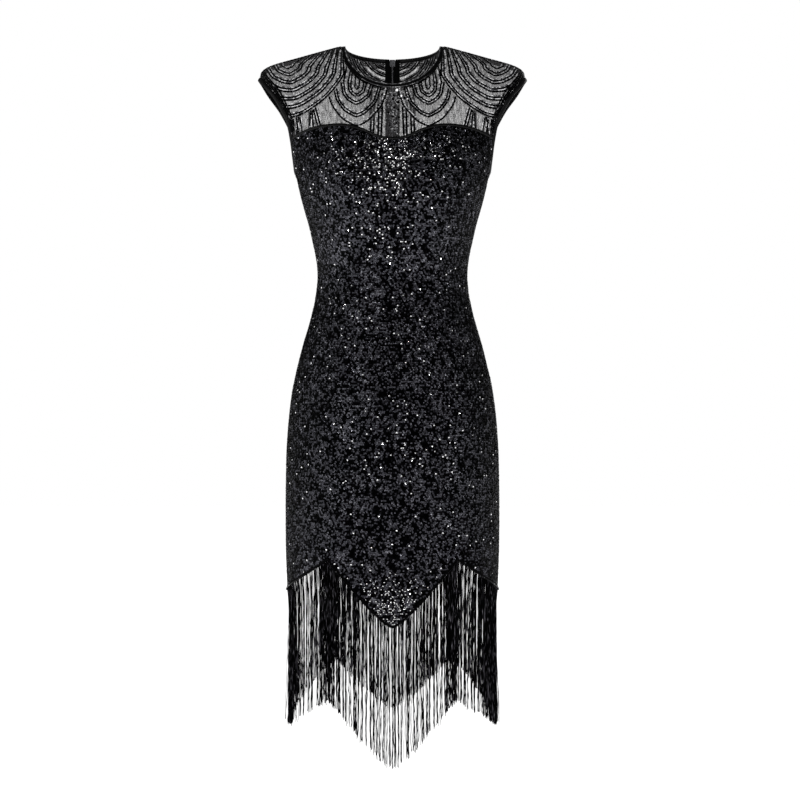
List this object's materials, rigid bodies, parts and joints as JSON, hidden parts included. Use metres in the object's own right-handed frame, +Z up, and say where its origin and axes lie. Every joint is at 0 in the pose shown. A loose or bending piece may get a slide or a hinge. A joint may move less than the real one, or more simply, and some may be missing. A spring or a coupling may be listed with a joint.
{
  "type": "flapper dress",
  "caption": "Fitted sequinned sheath dress with a sheer net yoke, cap shoulders, a centre back zip and a scalloped hem with long fringe.",
  "frame": {"origin": "middle of the line between the two high shoulder points, where the wearer's shoulders hold the dress", "axes": "+Z up, from the hem to the neck; -Y is the front of the dress; +X is to the right of a viewer who faces the front"},
  "size_m": [0.4076, 0.2443, 1.0666],
  "materials": {
    "sequin": "black sequinned cloth, glossy",
    "net": "sheer black net with beaded cords",
    "binding": "black satin binding",
    "fringe": "black rayon fringe, semi-gloss",
    "zip_tape": "black woven tape",
    "zip_metal": "satin grey metal"
  },
  "bodies": {
    "garment": {"body_front": "sequin", "body_back_left": "sequin", "body_back_right": "sequin", "yoke_front": "net", "yoke_back_left": "net", "yoke_back_right": "net", "neck_binding": "binding", "armhole_binding_left": "binding", "armhole_binding_right": "binding", "sweetheart_binding": "binding", "fringe_front": "fringe", "fringe_back": "fringe", "zip_tape_left": "zip_tape", "zip_tape_right": "zip_tape", "zip_chain": "zip_metal", "zip_slider": "zip_metal"},
    "zip_pull": {"zip_pull": "zip_metal"}
  },
  "joints": [
    {"name": "zip_pull_hinge", "type": "hinge", "parent": "garment", "child": "zip_pull", "pos_m": [0, 0.06658, -0.01071], "axis": [1, 0, 0], "range_deg": [0, 150]}
  ]
}
